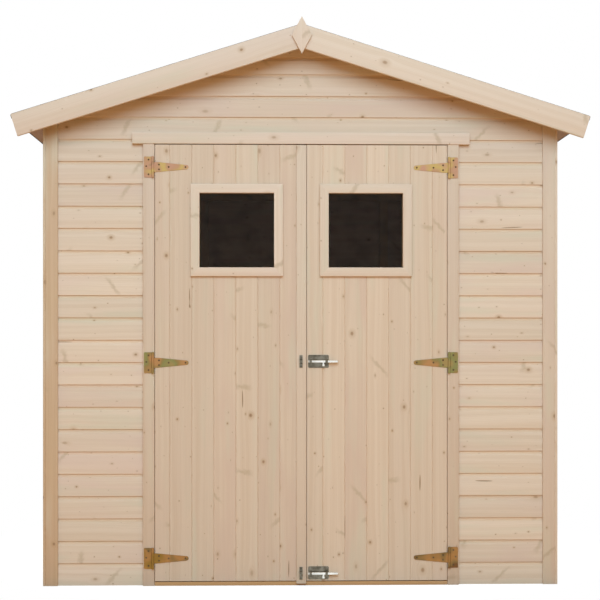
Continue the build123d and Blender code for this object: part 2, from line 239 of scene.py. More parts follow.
class SpruceGrain:
    """A shader group: rings, fibres, knots, flames and splits of spruce along a board's grain map."""

    INPUTS = {"Grain": "NodeSocketVector", "Board": "NodeSocketVector", "Knots": "NodeSocketFloat"}
    OUTPUTS = ("Rings", "Fibre", "Knot", "Rim", "Flame", "Split", "Cloud", "Haze", "Height")
    BOARD_SHIFT = (61, 17, 0)
    WANDER = 0.024
    RINGS_PER_METRE = 170
    KNOT_CELLS = (4.6, 9.5, 1.0)
    KNOT_RADII = (0.0028, 0.0058)
    PIN_CELLS = (10.5, 24.0, 1.0)
    PIN_RADII = (0.0011, 0.0016)
    FLAME_CELLS = (2.6, 8.0, 1.0)
    FLAME_SHARE = 0.46
    STREAK_LEVELS = (0.32, 0.74)
    SPLIT_LEVELS = (0.94, 0.962)

    def __init__(self) -> None:
        """Make the group with its sockets and its nodes."""
        self.tree = bpy.data.node_groups.new("spruce_grain", "ShaderNodeTree")
        sockets = [(label, "INPUT", kind) for label, kind in self.INPUTS.items()]
        sockets += [(label, "OUTPUT", "NodeSocketFloat") for label in self.OUTPUTS]
        for label, way, kind in sockets:
            self.tree.interface.new_socket(name=label, in_out=way, socket_type=kind)
        self.graph = Graph(self.tree)
        inside = self.tree.nodes.new("NodeGroupInput").outputs
        shift = self.graph.vector("MULTIPLY", inside["Board"], self.BOARD_SHIFT)
        masks = self.masks(self.graph.vector("ADD", inside["Grain"], shift), inside["Knots"])
        self.graph.fill(self.tree.nodes.new("NodeGroupOutput"), masks)

    def place(self, graph: Graph, inputs: Inputs) -> Outputs:
        """Put the group into a material and give its outputs."""
        return graph.node("Group", inputs, node_tree=self.tree).outputs

    def masks(self, place: Socket, share: Socket) -> Inputs:
        """Build every mask of the wood.

        Args:
            place: Coordinates along and across the boards in metres.
            share: Share of the cells that have a knot.

        Returns:
            What each output of the group takes.
        """
        graph = self.graph
        wander = graph.math("SUBTRACT", graph.noise(place, (1.3, 6, 0), 1), 0.5)
        across = graph.line(wander, self.WANDER, graph.split(place)[1])
        knot, rim, aside = self.knots(place, self.KNOT_CELLS, share, self.KNOT_RADII)
        pin_place = graph.vector("ADD", place, (5.3, 3.1, 0))
        pin_share = graph.times(share, 0.6)
        pin, pin_rim, pin_aside = self.knots(pin_place, self.PIN_CELLS, pin_share, self.PIN_RADII)
        across = graph.math("SUBTRACT", across, graph.math("ADD", aside, pin_aside))
        flow = graph.node("CombineXYZ", {0: graph.split(place)[0], 1: across}).outputs[0]
        streak = graph.step(graph.noise(flow, (0.55, 62, 0), 3), *self.STREAK_LEVELS)
        slow = graph.noise(flow, (0.4, 13, 0), 1)
        saw = graph.math("FRACT", graph.line(across, self.RINGS_PER_METRE, graph.times(slow, 9)))
        ring = graph.math("POWER", saw, 3.0)
        fibre = graph.noise(flow, (16, 950, 0))
        dash = graph.noise(graph.vector("ADD", flow, (3.3, 1.7, 0)), (4.4, 92, 0), 0)
        split = graph.step(dash, *self.SPLIT_LEVELS)
        height = graph.line(fibre, 0.5, graph.times(ring, -0.35))
        return {
            "Rings": graph.line(ring, 0.4, graph.times(streak, 0.6)),
            "Fibre": fibre,
            "Knot": graph.math("MAXIMUM", knot, pin),
            "Rim": graph.math("MAXIMUM", rim, graph.times(pin_rim, 0.5)),
            "Flame": self.flames(place),
            "Split": split,
            "Cloud": graph.noise(flow, (2.2, 9, 0)),
            "Haze": graph.noise(graph.vector("ADD", flow, (7.7, 2.9, 0)), (1.6, 14, 0)),
            "Height": graph.math("SUBTRACT", height, graph.times(split, 1.4)),
        }

    def cells(self, place: Value, scale: Point) -> tuple[Outputs, Outputs]:
        """Divide the boards into cells.

        Args:
            place: Coordinates along and across in metres.
            scale: Cells per metre along and across.

        Returns:
            The way from the middle of a cell in metres, and three chances of the cell.
        """
        graph = self.graph
        scaled = graph.vector("MULTIPLY", place, scale)
        cell = graph.node("TexVoronoi", {"Vector": scaled, "Scale": 1.0}, voronoi_dimensions="2D").outputs
        offset = graph.vector("SUBTRACT", scaled, cell["Position"])
        return graph.split(graph.vector("DIVIDE", offset, scale)), graph.split(cell["Color"])

    def knots(self, place: Value, scale: Point, share: Value,
              radii: tuple[float, float]) -> tuple[Socket, Socket, Socket]:
        """Strew knots over the boards.

        Args:
            place: Coordinates along and across in metres.
            scale: Cells per metre along and across, each with one knot at most.
            share: Share of the cells that have a knot.
            radii: Least radius of a knot and how much more the largest has, in metres.

        Returns:
            The knot mask, the mask of the darker wood round it, and how far the grain is pushed aside.
        """
        graph = self.graph
        offset, chance = self.cells(place, scale)
        live = graph.math("LESS_THAN", chance[0], share)
        size = graph.times(graph.line(graph.times(chance[1], chance[1]), radii[1], radii[0]), live)
        long_way = graph.times(offset[0], graph.line(chance[2], 0.4, 0.5))
        square = graph.line(offset[1], offset[1], graph.times(long_way, long_way))
        rough = graph.math("SUBTRACT", graph.noise(place, (300, 420, 0)), 0.5)
        far = graph.line(rough, 0.0026, graph.math("SQRT", square))
        depth = graph.times(live, graph.line(chance[2], 0.6, 0.4))
        knot, rim = (
            graph.times(graph.step(far, graph.times(size, outer), graph.times(size, inner)), depth)
            for outer, inner in ((1.1, 0.3), (2.8, 0.8))
        )
        bulge = graph.times(graph.times(size, size), 2.6)
        bulge = graph.math("MINIMUM", graph.math("DIVIDE", bulge, graph.math("ADD", square, 0.000004)), 1.0)
        return knot, rim, graph.times(offset[1], bulge)

    def flames(self, place: Value) -> Socket:
        """Strew faint slanting marks where a branch ran along the face.

        Args:
            place: Coordinates along and across in metres.

        Returns:
            The mask of the marks.
        """
        graph = self.graph
        offset, chance = self.cells(graph.vector("ADD", place, (9.7, 1.3, 0)), self.FLAME_CELLS)
        ragged = graph.math("SUBTRACT", graph.noise(place, (60, 60, 0)), 0.5)
        slant = graph.line(offset[1], graph.line(chance[1], 2.2, -1.1), offset[0])
        slant = graph.math("ABSOLUTE", graph.line(ragged, 0.02, slant))
        tall = graph.step(graph.math("ABSOLUTE", offset[1]), 0.046, 0.012)
        body = graph.times(graph.step(slant, 0.015, 0.001), tall)
        return graph.times(body, graph.math("LESS_THAN", chance[0], self.FLAME_SHARE))


@dataclass(frozen=True)
class Coat:
    """What every finish has: a name, and sockets of a Principled shader to set."""

    name: str

    def material(self, grain: SpruceGrain) -> bpy.types.Material:
        """Build the material.

        Args:
            grain: The shared grain of spruce.

        Returns:
            The finished material.
        """
        material = bpy.data.materials.new(self.name)
        material.use_nodes = True
        graph = Graph(material.node_tree)
        shader = graph.node("BsdfPrincipled")
        graph.node("OutputMaterial", {"Surface": shader.outputs[0]})
        graph.fill(shader, self.sockets(graph, grain))
        return material

    def sockets(self, graph: Graph, grain: SpruceGrain) -> Inputs:
        """Give what each socket of the shader takes.

        Args:
            graph: The material's nodes.
            grain: The shared grain of spruce.

        Returns:
            A value or an output for each socket.
        """
        raise NotImplementedError


@dataclass(frozen=True)
class Timber(Coat):
    """Raw spruce of one use: its colours and how strongly its grain shows."""

    pale: Colour
    ring: Colour
    rosy: Colour
    ashen: Colour = (212, 198, 172)
    knot: Colour = (148, 114, 82)
    rim: Colour = (190, 158, 122)
    flame: Colour = (184, 160, 128)
    crack: Colour = (128, 96, 62)
    # Tint of the painted shade on sunk faces, multiplied into the wood colour.
    groove: Colour = (253, 248, 240)
    knots: float = 0.65
    ring_share: float = 0.5
    spread: float = 0.09
    roughness: float = 0.62
    relief: float = 0.0005
    blush: float = 0.85
    haze: float = 0.7
    fibre: float = 0.07
    # Depths below the outer face, in metres, over which the painted shade on sunk faces fades in and back
    # out.
    hollow: tuple[float, ...] = (0.0004, 0.004, 0.013, 0.0155)

    def sockets(self, graph: Graph, grain: SpruceGrain) -> Inputs:
        """Give the tones of single boards, the marks of the grain, painted shade on sunk faces and its
        relief.

        Args:
            graph: The material's nodes.
            grain: The shared grain of spruce.

        Returns:
            A value or an output for each socket.
        """
        board = graph.uv(BOARD_MAP)
        wood = grain.place(graph, {"Grain": graph.uv(GRAIN_MAP), "Board": board, "Knots": self.knots})
        chance = graph.split(board)
        colour = graph.mix(graph.times(wood["Rings"], self.ring_share), linear(self.pale), linear(self.ring))
        blush = graph.times(graph.step(wood["Cloud"], 0.3, 0.75), graph.step(chance[0], 0.1, 0.9))
        colour = graph.mix(graph.times(blush, self.blush), colour, linear(self.rosy))
        haze = graph.times(graph.step(wood["Haze"], 0.52, 0.8), self.haze)
        colour = graph.mix(haze, colour, linear(self.ashen))
        tone = graph.line(chance[1], self.spread, 1 - self.spread / 2)
        tone = graph.line(graph.math("SUBTRACT", wood["Fibre"], 0.5), self.fibre, tone)
        colour = graph.shade(colour, tone)
        marks = (("Flame", 0.5, self.flame), ("Rim", 0.5, self.rim), ("Knot", 0.9, self.knot),
                 ("Split", 0.75, self.crack))
        for mark, strength, tint in marks:
            colour = graph.mix(graph.times(wood[mark], strength), colour, linear(tint))
        # Painted shade: faces about 4 to 13 mm below the outer face, the board edges in the joints and the
        # deep end of the lap hollow, are multiplied by a darker tint.
        depth = graph.split(graph.uv(DEPTH_MAP))[0]
        edge, start, stop, back = self.hollow
        painted_recess_shade = graph.times(graph.step(depth, edge, start), graph.step(depth, back, stop))
        return {
            "Base Color": graph.mix(painted_recess_shade, colour, linear(self.groove), "MULTIPLY"),
            "Roughness": graph.line(wood["Fibre"], 0.16, self.roughness - 0.08),
            "Specular IOR Level": 0.3,
            "Normal": graph.bump(wood["Height"], self.relief, 0.6),
        }


@dataclass(frozen=True)
class Zinc(Coat):
    """Zinc-plated steel, bright or with the patchy colours of yellow passivation."""

    stops: tuple[tuple[float, Colour], ...]
    patch: float = 17.0
    roughness: float = 0.42
    grit: float = 900.0

    def sockets(self, graph: Graph, grain: SpruceGrain) -> Inputs:
        """Give the patches of colour and the fine grit of the plating.

        Args:
            graph: The material's nodes.
            grain: The shared grain of spruce.

        Returns:
            A value or an output for each socket.
        """
        place = graph.coordinates()
        patches = graph.noise(place, (self.patch,) * 3, 1, False)
        patches = graph.node("MapRange", {0: patches, 1: 0.3, 2: 0.7}).outputs[0]
        fine = graph.noise(place, (self.grit,) * 3, 2, False)
        return {
            "Base Color": graph.shade(graph.ramp(patches, self.stops), graph.line(fine, 0.24, 0.88)),
            "Metallic": 1.0,
            "Roughness": graph.line(fine, 0.2, self.roughness - 0.1),
            "Normal": graph.bump(fine, 0.0001, 0.5),
        }


@dataclass(frozen=True)
class Felt(Coat):
    """Bitumen felt faced with mineral granules."""

    dark: Colour
    light: Colour
    glint: Colour = (150, 148, 142)
    granules: float = 620.0

    def sockets(self, graph: Graph, grain: SpruceGrain) -> Inputs:
        """Give the granules, the paler ones among them and soft stains.

        Args:
            graph: The material's nodes.
            grain: The shared grain of spruce.

        Returns:
            A value or an output for each socket.
        """
        place = graph.coordinates()
        cell = graph.node("TexVoronoi", {"Vector": place, "Scale": self.granules}).outputs
        speck = graph.split(cell["Color"])[0]
        stain = graph.noise(place, (3.1, 2.3, 3.1), 3, False)
        share = graph.math("SUBTRACT", graph.line(stain, 0.5, graph.times(speck, 0.6)), 0.1)
        colour = graph.mix(share, linear(self.dark), linear(self.light))
        pale = graph.times(graph.step(speck, 0.93, 0.95), 0.5)
        return {
            "Base Color": graph.mix(pale, colour, linear(self.glint)),
            "Roughness": graph.line(speck, 0.12, 0.84),
            "Specular IOR Level": 0.25,
            "Normal": graph.bump(cell["Distance"], 0.0012, 0.7, True),
        }


@dataclass(frozen=True)
class Pane(Coat):
    """Clear acrylic sheet with a little dust."""

    tint: Colour
    dust: Colour

    def sockets(self, graph: Graph, grain: SpruceGrain) -> Inputs:
        """Give a clear sheet with a smeared film."""
        film = graph.step(graph.noise(graph.coordinates(), (11, 11, 17), 4, False), 0.4, 0.72)
        return {
            "Base Color": graph.mix(film, linear(self.tint), linear(self.dust)),
            "Roughness": graph.times(film, 0.08),
            "Transmission Weight": 1.0,
            "IOR": 1.2,
        }


class Finish(Enum):
    """Finishes of the shed: the record's material slot of each, and its coat."""

    CLADDING = ("cladding_wood", Timber("spruce_cladding", (225, 203, 179), (203, 174, 142), (218, 191, 171)))
    DOOR = ("door_wood", Timber("spruce_door", (221, 198, 173), (200, 170, 139), (213, 185, 162)))
    TRIM = ("trim_wood", Timber(
        "spruce_trim", (226, 205, 183), (208, 181, 151), (223, 199, 180), knots=0.5, spread=0.05))
    CORNER = ("trim_wood", Timber(
        "spruce_corner", (205, 176, 143), (182, 148, 112), (200, 168, 140), knots=0.4))
    FRAME = ("frame_wood", Timber(
        "spruce_frame", (216, 184, 146), (190, 152, 110), (208, 170, 134), roughness=0.72, relief=0.0009))
    FELT = ("roofing_felt", Felt("mineral_felt", (58, 60, 60), (116, 117, 114)))
    PANE = ("clear_pane", Pane("clear_sheet", (236, 216, 194), (220, 200, 178)))
    JAMB = ("trim_wood", Timber(
        "spruce_jamb", (213, 190, 166), (196, 168, 138), (208, 182, 162), knots=0.5, spread=0.05))
    STRIP = ("trim_wood", Timber(
        "spruce_strip", (220, 198, 174), (202, 174, 145), (214, 188, 167), knots=0.5, spread=0.05))
    SILL = ("frame_wood", Timber("spruce_sill", (212, 168, 118), (188, 140, 92), (202, 156, 110)))
    # Roof boards are darker than the frame wood as painted shade, for the shadow under the eaves.
    DECK = ("frame_wood", Timber("spruce_deck", (190, 158, 122), (166, 130, 92), (182, 146, 112)))
    # Hinge zincs: all three have the patchy colours of yellow passivation. The paler upper one and the darker
    # lower one also carry painted reflection and shade: lighter high up, darker low down.
    ROSY_ZINC = ("yellow_zinc", Zinc("rosy_zinc", (
        (0.0, (204, 158, 130)), (0.3, (208, 180, 112)), (0.55, (198, 156, 118)), (0.8, (202, 156, 128)),
        (1.0, (162, 142, 100)))))
    OLIVE_ZINC = ("yellow_zinc", Zinc("olive_zinc", (
        (0.0, (166, 140, 88)), (0.35, (142, 138, 86)), (0.65, (154, 128, 78)), (1.0, (184, 136, 88)))))
    BROWN_ZINC = ("yellow_zinc", Zinc("brown_zinc", (
        (0.0, (146, 110, 52)), (0.4, (168, 120, 70)), (0.7, (134, 106, 64)), (1.0, (118, 82, 50)))))
    SCREW = ("yellow_zinc", Zinc("dark_screw", (
        (0.0, (84, 66, 46)), (0.5, (102, 82, 58)), (1.0, (120, 98, 70))), patch=40.0))
    NAIL = ("bright_zinc", Zinc("dull_nail", (
        (0.0, (112, 108, 100)), (0.5, (136, 132, 124)), (1.0, (152, 148, 140))), patch=40.0, roughness=0.5))
    ROD = ("bright_zinc", Zinc("bright_rod", (
        (0.0, (222, 222, 216)), (0.5, (238, 238, 232)), (1.0, (250, 250, 246))), patch=60.0, roughness=0.26))
    PLATE = ("bright_zinc", Zinc("dull_plate", (
        (0.0, (98, 93, 80)), (0.5, (118, 112, 98)), (1.0, (138, 133, 120))), patch=70.0))

    def __init__(self, slot: str, coat: Coat) -> None:
        """Keep the slot's name and the coat."""
        self.slot = slot
        self.coat = coat


class Palette:
    """All materials, made once."""

    def __init__(self) -> None:
        """Build every finish."""
        grain = SpruceGrain()
        self.materials = {finish: finish.coat.material(grain) for finish in Finish}

    def dress(self, piece: Piece, finish: Finish, body: str, *nodes: str,
              others: Sequence[tuple[Callable[[Vector], bool], Finish]] = ()) -> None:
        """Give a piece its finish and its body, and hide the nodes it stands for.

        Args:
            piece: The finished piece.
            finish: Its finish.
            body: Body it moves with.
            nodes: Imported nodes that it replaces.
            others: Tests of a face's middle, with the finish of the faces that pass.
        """
        piece.data.materials.clear()
        for given in (finish, *(other for _, other in others)):
            piece.data.materials.append(self.materials[given])
        for face in piece.data.polygons:
            passed = (place for place, (test, _) in enumerate(others, 1) if test(face.center))
            face.material_index = next(passed, 0)
        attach(piece, body)
        if nodes:
            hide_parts(*nodes)
        LOG.info("%s: %d faces on %s", piece.name, len(piece.data.polygons), body)

    def paint(self, node: str, finish: Finish) -> None:
        """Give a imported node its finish.

        Args:
            node: Node that keeps its own solid.
            finish: Its finish.
        """
        solid = frame["nodes"][node]
        solid.data.materials.clear()
        solid.data.materials.append(self.materials[finish])
        LOG.info("%s keeps its solid", node)


class Edge(Enum):
    """How the long edges of a board are worked."""

    SHIPLAP = "upper outer edge hollowed out"
    MATCHED = "both outer edges chamfered"
    EASED = "every edge eased"


def lay(origin: Sequence[float], along: Sequence[float], inward: Sequence[float]) -> Matrix:
    """Place a board.

    Args:
        origin: Outer lower corner where the board starts.
        along: Direction of its length.
        inward: Direction from its outer face to its back.

    Returns:
        The matrix from the board's own axes (length, thickness, width) to the shed's.
    """
    first, second = Vector(along).normalized(), Vector(inward).normalized()
    turn = Matrix((first, second, first.cross(second))).transposed().to_4x4()
    return Matrix.Translation(origin) @ turn


def link(name: str, mesh: Mesh) -> Piece:
    """Put a mesh into the scene.

    Args:
        name: Name of the new piece.
        mesh: Its mesh.

    Returns:
        The piece.
    """
    piece = bpy.data.objects.new(name, mesh)
    bpy.context.collection.objects.link(piece)
    return piece


@contextmanager
def editing() -> Iterator[None]:
    """Work on the active piece in edit mode."""
    bpy.ops.object.mode_set(mode="EDIT")
    yield
    bpy.ops.object.mode_set(mode="OBJECT")


@dataclass
class Joiner:
    """A bench with Blender's own tools: works boards, cuts them and joins them into pieces."""

    seed: int
    hollow_height: float = 0.0165
    hollow_depth: float = 0.0046
    hollow_rows: int = 7
    drip_edge: float = 0.0008
    chamfer: float = 0.002
    eased_edge: float = 0.0013
    weld: float = 0.00002

    def __post_init__(self) -> None:
        """Start with no pattern boards and a fixed seed."""
        self.dice = random.Random(self.seed)
        self.patterns: dict[tuple[Edge, float, float], Mesh] = {}

    @staticmethod
    def take(*pieces: Piece) -> None:
        """Select these pieces only and make the first active.

        Args:
            pieces: Pieces to work on.
        """
        bpy.ops.object.select_all(action="DESELECT")
        for piece in pieces:
            piece.select_set(True)
        bpy.context.view_layer.objects.active = pieces[0]

    @staticmethod
    def block(low: Point, high: Point) -> Piece:
        """Add a block, with its place in its mesh.

        Args:
            low: Its lowest corner.
            high: Its highest corner.

        Returns:
            The block, which is active.
        """
        bpy.ops.object.select_all(action="DESELECT")
        middle = [(a + b) / 2 for a, b in zip(low, high)]
        size = [b - a for a, b in zip(low, high)]
        bpy.ops.mesh.primitive_cube_add(size=1, calc_uvs=False, location=middle, scale=size)
        bpy.ops.object.transform_apply(location=True, rotation=True, scale=True)
        return bpy.context.object

    @staticmethod
    def modify(piece: Piece, kind: str, **settings: object) -> None:
        """Add a modifier and apply it.

        Args:
            piece: Active piece.
            kind: Type of the modifier.
            settings: Properties of the modifier.
        """
        tool = piece.modifiers.new(kind.lower(), kind)
        for name, setting in settings.items():
            setattr(tool, name, setting)
        bpy.ops.object.modifier_apply(modifier=tool.name)

    @staticmethod
    def bevel(piece: Piece, wanted: Callable[[Vector, Vector], bool], width: float, rows: int) -> None:
        """Bevel the edges that pass a test.

        Args:
            piece: Active piece.
            wanted: Test of an edge's two ends.
            width: Width of the bevel.
            rows: Number of faces across it.
        """
        mesh = piece.data
        bpy.context.tool_settings.mesh_select_mode = (False, True, False)
        for group in (mesh.vertices, mesh.edges, mesh.polygons):
            group.foreach_set("select", [False] * len(group))
        for edge in mesh.edges:
            ends = [mesh.vertices[index] for index in edge.vertices]
            if wanted(ends[0].co, ends[1].co):
                edge.select = True
                ends[0].select = ends[1].select = True
        with editing():
            bpy.ops.mesh.bevel(offset=width, segments=rows, affect="EDGES")

    def scoop(self, piece: Piece) -> None:
        """Hollow the outer face of a board along its upper edge, deepest at the edge.

        Args:
            piece: Active block of the board.
        """
        mesh = piece.data
        top = max(vertex.co.z for vertex in mesh.vertices)
        with editing():
            for row in range(1, self.hollow_rows + 1):
                level = top - self.hollow_height * row / self.hollow_rows
                bpy.ops.mesh.select_all(action="SELECT")
                bpy.ops.mesh.bisect(plane_co=(0, 0, level), plane_no=(0, 0, 1))
        for vertex in mesh.vertices:
            share = (top - vertex.co.z) / self.hollow_height
            if vertex.co.y < NEAR and share < 1:
                vertex.co.y = self.hollow_depth * (1 - share * share)

    def pattern(self, edge: Edge, width: float, thickness: float) -> Mesh:
        """Give the pattern board of one section, a metre long, modelled when first asked for.

        Args:
            edge: How its edges are worked.
            width: Width of the board.
            thickness: Thickness of the board.

        Returns:
            The pattern's mesh.
        """
        key = (edge, round(width, 5), round(thickness, 5))
        if key not in self.patterns:
            piece = self.block((0, 0, 0), (1, thickness, width))

            def outer(a: Vector, b: Vector) -> bool:
                """Tell whether an edge is a long one on the outer face."""
                return abs(a.x - b.x) > 0.5 and a.y < NEAR and b.y < NEAR

            if edge is Edge.SHIPLAP:
                self.scoop(piece)
                self.bevel(piece, lambda a, b: outer(a, b) and a.z < NEAR, self.drip_edge, 1)
            elif edge is Edge.MATCHED:
                self.bevel(piece, outer, self.chamfer, 1)
            else:
                self.bevel(piece, lambda a, b: True, self.eased_edge, 2)
            self.patterns[key] = piece.data.copy()
            bpy.data.objects.remove(piece)
        return self.patterns[key]

    def board(self, place: Matrix, size: Point, edge: Edge, cuts: Sequence[Cut] = (),
              hole: Optional[tuple[Point, Point]] = None) -> Piece:
        """Cut one board from its pattern.

        Args:
            place: Where it lies, from lay().
            size: Length, thickness and width.
            edge: How its edges are worked.
            cuts: Saw cuts, each a point and the direction of the waste.
            hole: Corners of a box that is cut out of it.

        Returns:
            The board.
        """
        length, thickness, width = size
        mesh = self.pattern(edge, width, thickness).copy()
        for vertex in mesh.vertices:
            if vertex.co.x > 0.5:
                vertex.co.x += length - 1
        mesh.transform(place)
        piece = link("board", mesh)
        for point, waste in cuts:
            self.saw(piece, Vector(point), Vector(waste))
        if hole:
            cutter = self.block(*hole)
            self.take(piece)
            self.modify(piece, "BOOLEAN", operation="DIFFERENCE", object=cutter)
            bpy.data.objects.remove(cutter)
        self.lay_grain(mesh, [(range(len(mesh.vertices)), place.inverted())], True)
        return piece

    def saw(self, piece: Piece, point: Vector, waste: Vector) -> None:
        """Cut a piece along a plane and close the cut.

        Args:
            piece: Piece to cut.
            point: Point on the plane.
            waste: Direction of the side that falls away.
        """
        if max((vertex.co - point).dot(waste) for vertex in piece.data.vertices) <= TOUCH:
            return
        self.take(piece)
        with editing():
            bpy.ops.mesh.select_all(action="SELECT")
            bpy.ops.mesh.bisect(plane_co=point, plane_no=waste, use_fill=True, clear_outer=True)

    def lay_grain(self, mesh: Mesh, parts: Sequence[tuple[Iterable[int], Matrix]], grooved: bool) -> None:
        """Write the grain map in metres, one chance pair per board, and the depth below its face.

        Args:
            mesh: Mesh of one or more boards.
            parts: Vertices of each board, with the matrix to its own axes.
            grooved: True if depth is measured from the outer face, false to leave it at zero.
        """
        places = np.array([vertex.co for vertex in mesh.vertices])
        grain, chance, depth = (np.zeros((len(places), 2)) for _ in range(3))
        for members, own in parts:
            members = list(members)
            turn = np.array(own)
            local = places[members] @ turn[:3, :3].T + turn[:3, 3]
            grain[members, 0] = local[:, 0]
            grain[members, 1] = local[:, 2] + local[:, 1]
            chance[members] = (self.dice.random(), self.dice.random())
            # Depth below the outer face, which the timber shader turns into painted shade on sunk faces.
            depth[members, 0] = local[:, 1] * grooved
        corners = [corner.vertex_index for corner in mesh.loops]
        for name, values in ((GRAIN_MAP, grain), (BOARD_MAP, chance), (DEPTH_MAP, depth)):
            mesh.uv_layers.new(name=name).data.foreach_set("uv", values[corners].ravel())

    def join(self, name: str, pieces: Sequence[Piece]) -> Piece:
        """Join boards into one piece, smooth over its small bevels.

        Args:
            name: Name of the piece.
            pieces: Boards to join.

        Returns:
            The piece, which is active.
        """
        self.take(*pieces)
        if len(pieces) > 1:
            bpy.ops.object.join()
        piece = bpy.context.object
        piece.name = piece.data.name = name
        bpy.ops.object.shade_smooth_by_angle(angle=SMOOTH)
        return piece

    def ease(self, name: str, node: str, width: float = 0.0015) -> Piece:
        """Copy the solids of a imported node, ease their edges and lay the grain along each solid.

        Args:
            name: Name of the new piece.
            node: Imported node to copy.
            width: Width of the eased edges.

        Returns:
            The piece.
        """
        piece = self.join(name, [link(name, frame["nodes"][node].data.copy())])
        while piece.data.uv_layers:
            piece.data.uv_layers.remove(piece.data.uv_layers[0])
        with editing():
            bpy.ops.mesh.customdata_custom_splitnormals_clear()
            bpy.ops.mesh.select_all(action="SELECT")
            bpy.ops.mesh.remove_doubles(threshold=self.weld)
            bpy.ops.mesh.dissolve_limited(angle_limit=math.radians(1))
        self.modify(piece, "BEVEL", width=width, segments=2, limit_method="ANGLE")
        self.lay_grain(piece.data, self.solids(piece.data), False)
        bpy.ops.object.shade_smooth_by_angle(angle=SMOOTH)
        return piece

    @staticmethod
    def solids(mesh: Mesh) -> list[tuple[list[int], Matrix]]:
        """Find the separate solids of a mesh and the axes of each, longest first.

        Args:
            mesh: Mesh of separate closed solids.

        Returns:
            The vertices of each solid and the matrix to its own axes.
        """
        owner = list(range(len(mesh.vertices)))

        def root(index: int) -> int:
            """Follow a vertex to the first of its solid."""
            while owner[index] != index:
                owner[index] = owner[owner[index]]
                index = owner[index]
            return index

        for edge in mesh.edges:
            owner[root(edge.vertices[0])] = root(edge.vertices[1])
        groups: dict[int, list[int]] = {}
        for index in range(len(owner)):
            groups.setdefault(root(index), []).append(index)
        found = []
        for members in groups.values():
            places = np.array([mesh.vertices[index].co for index in members])
            middle = places.mean(axis=0)
            axes = np.linalg.eigh(np.cov((places - middle).T))[1][:, ::-1].T
            along, across, through = (Vector(axis) for axis in axes)
            own = Matrix((along, through, across)).to_4x4() @ Matrix.Translation(-Vector(middle))
            found.append((members, own))
        return found


class Side(Enum):
    """Left and right as seen from the front, with the sign of x."""

    LEFT = -1
    RIGHT = 1

    @property
    def word(self) -> str:
        """Give the side as names of pieces and nodes have it."""
        return self.name.lower()


@dataclass
class Assembly:
    """What every sub-assembly works with."""

    joiner: Joiner
    palette: Palette

    def put_up(self, name: str, boards: Sequence[Piece], finish: Finish, body: str, *nodes: str) -> None:
        """Join boards into one piece and dress it."""
        self.palette.dress(self.joiner.join(name, boards), finish, body, *nodes)


@dataclass
class Walls(Assembly):
    """Lapped boards of the four walls, row over row."""

    cover: float = 0.088
    first_joint: float = 0.087
    thickness: float = 0.016
    face: float = 1.005
    side_end: float = 0.989
    doorway: float = 0.5775
    doorway_top: float = 1.739
    gable: tuple[float, ...] = (1.759, 1.847, 1.930, 2.016, 2.085)

    def row(self, start: Point, along: Point, length: float, cuts: Sequence[Cut],
            cover: float = 0.0) -> Piece:
        """Lay one board level, its outer face to the weather.

        Args:
            start: Outer lower corner where it starts.
            along: Direction of its length.
            length: Its length.
            cuts: Saw cuts.
            cover: Height that it covers, or zero for the usual one.

        Returns:
            The board.
        """
        inward = Vector((0, 0, 1)).cross(Vector(along))
        size = (length, self.thickness, cover or self.cover)
        return self.joiner.board(lay(start, along, inward), size, Edge.SHIPLAP, cuts)

    def heights(self, top: float) -> list[float]:
        """Give the lower edges of the rows from the ground up to a height."""
        count = math.ceil((top - self.first_joint) / self.cover) + 1
        return [self.first_joint + (step - 1) * self.cover for step in range(count)]

    @staticmethod
    def trims() -> list[Cut]:
        """Find where the boards end.

        Returns:
            The cuts along the ground and under both roof slopes.
        """
        rise, run = math.cos(PITCH), math.sin(PITCH)
        peak = (0, 0, UNDER_RIDGE)
        return [((0, 0, 0), (0, 0, -1)), (peak, (run, 0, rise)), (peak, (-run, 0, rise))]

    def width_at(self, height: float) -> float:
        """Give the half width of a gable at a height."""
        return min(self.face, (UNDER_RIDGE - height) / math.tan(PITCH))

    def build(self) -> None:
        """Board the front, back and sides."""
        cuts = self.trims()
        front, back = [], []
        for height, top in zip(self.gable, (*self.gable[1:], UNDER_RIDGE)):
            reach = self.width_at(height)
            front.append(self.row((-reach, -self.face, height), (1, 0, 0), 2 * reach, cuts, top - height))
        for height in self.heights(UNDER_RIDGE):
            reach = self.width_at(height)
            back.append(self.row((reach, self.face, height), (-1, 0, 0), 2 * reach, cuts))
            if height >= self.doorway_top:
                continue
            for start in (-self.face, self.doorway):
                front.append(self.row((start, -self.face, height), (1, 0, 0), self.face - self.doorway, cuts))
            if height + self.cover > self.doorway_top:
                over = [*cuts, ((0, 0, self.doorway_top), (0, 0, -1))]
                front.append(self.row((-self.doorway, -self.face, height), (1, 0, 0), 2 * self.doorway, over))
        self.put_up("front_cladding", front, Finish.CLADDING, "shed",
                    "front_wall_left", "front_wall_right", "front_gable")
        self.put_up("back_cladding", back, Finish.CLADDING, "shed", "back_wall")
        for side in Side:
            start, along = (side.value * self.face, -side.value * self.side_end), (0, side.value, 0)
            heights = self.heights(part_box(f"{side.word}_wall")[1][2])
            rows = [self.row((*start, height), along, 2 * self.side_end, cuts) for height in heights]
            self.put_up(f"{side.word}_cladding", rows, Finish.CLADDING, "shed", f"{side.word}_wall")


